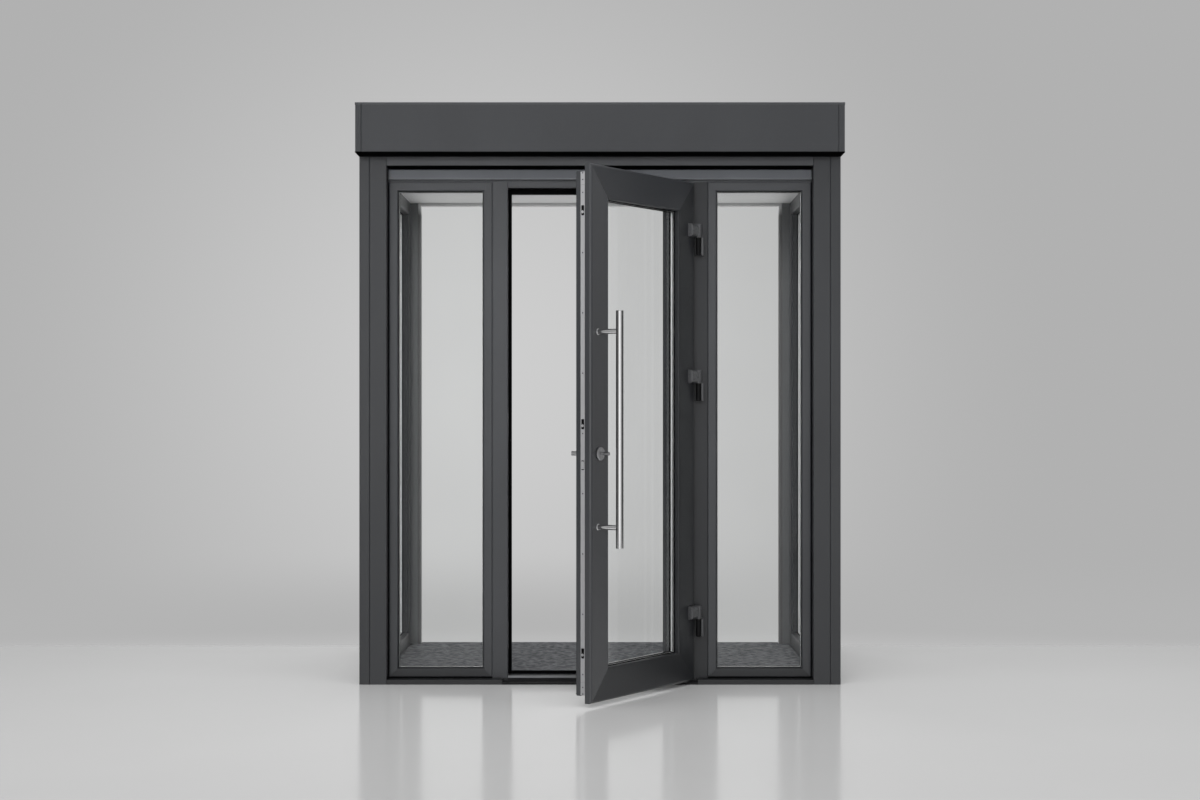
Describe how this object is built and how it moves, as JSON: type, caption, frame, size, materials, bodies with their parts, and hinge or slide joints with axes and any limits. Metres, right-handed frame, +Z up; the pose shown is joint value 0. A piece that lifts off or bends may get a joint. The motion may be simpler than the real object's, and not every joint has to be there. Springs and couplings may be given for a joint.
{
  "type": "entrance vestibule",
  "caption": "Glazed plastic entrance porch with an outward-opening glazed door, fixed sidelites, glazed side walls, an open back and a flat roof behind a deep fascia.",
  "frame": {"origin": "centre of the floor's underside, on the ground, midway between the casing's face and the back of the rear posts", "axes": "+X to the right seen from the street, +Y from the street to the building, +Z up"},
  "size_m": [2.032, 2.0984, 2.43],
  "materials": {
    "frame_anthracite": "fine satin foil",
    "fascia_anthracite": "fine satin foil",
    "trim_metal": "powder coated",
    "rail_metal": "satin, a little lighter than the frame",
    "base_dark": "satin",
    "clear_glass": "clear float glass",
    "black_rubber": "matt",
    "threshold_aluminium": "anodised",
    "spacer_aluminium": "bright",
    "lock_steel": "satin",
    "lock_trim": "satin",
    "handle_steel": "brushed round the bar",
    "hinge_caps": "satin",
    "pale_trim": "satin",
    "ceiling_white": "satin",
    "tray_aluminium": "mill",
    "mat_fibre": "ribbed needle felt",
    "joist_timber": "sawn",
    "roof_skin": "membrane",
    "soffit_black": "satin"
  },
  "bodies": {
    "cabin": {"corner_posts": "frame_anthracite", "casing_stiles": "frame_anthracite", "casing_head": "frame_anthracite", "base_rails": "frame_anthracite", "frame_head": "frame_anthracite", "door_head": "frame_anthracite", "weather_rail": "rail_metal", "mullion_left": "frame_anthracite", "mullion_right": "frame_anthracite", "threshold_base": "base_dark", "threshold": "threshold_aluminium", "door_seal": "black_rubber", "frame_gasket": "black_rubber", "sidelite_stiles": "frame_anthracite", "sidelite_rails": "frame_anthracite", "sidelite_glass": "clear_glass", "side_wall_stiles": "frame_anthracite", "side_wall_rails": "frame_anthracite", "side_wall_glass": "clear_glass", "glazing_beads": "frame_anthracite", "glazing_gaskets": "black_rubber", "glass_spacers": "spacer_aluminium", "side_beams": "frame_anthracite", "rear_posts": "frame_anthracite", "rear_head": "frame_anthracite", "rear_trim_strip": "pale_trim", "floor_tray": "tray_aluminium", "entrance_mat": "mat_fibre", "ceiling_panel": "ceiling_white", "roof_joists": "joist_timber", "roof_panel": "roof_skin", "roof_edge_trim": "trim_metal", "fascia_front": "fascia_anthracite", "fascia_sides": "fascia_anthracite", "fascia_rear": "fascia_anthracite", "soffit": "soffit_black", "strike_plates": "lock_steel", "hinge_frame_parts": "hinge_caps"},
    "door": {"door_stile_lock": "frame_anthracite", "door_stile_hinge": "frame_anthracite", "door_rails": "frame_anthracite", "door_glass": "clear_glass", "door_spacer": "spacer_aluminium", "door_beads": "frame_anthracite", "door_gaskets": "black_rubber", "lock_faceplate": "lock_steel", "lock_roses": "lock_trim", "pull_handle": "handle_steel", "hinge_leaf_parts": "hinge_caps"},
    "lock": {"lock_turn": "lock_trim"}
  },
  "joints": [
    {"name": "door_hinge", "type": "hinge", "parent": "cabin", "child": "door", "pos_m": [0.414, -0.686, 0], "axis": [0, 0, 1], "range_deg": [-57.8, 32.2]},
    {"name": "lock_turn", "type": "hinge", "parent": "door", "child": "lock", "pos_m": [-0.00123, -1.31911, 0.985], "axis": [0.8462, -0.5329, 0], "range_deg": [-90, 90]}
  ]
}
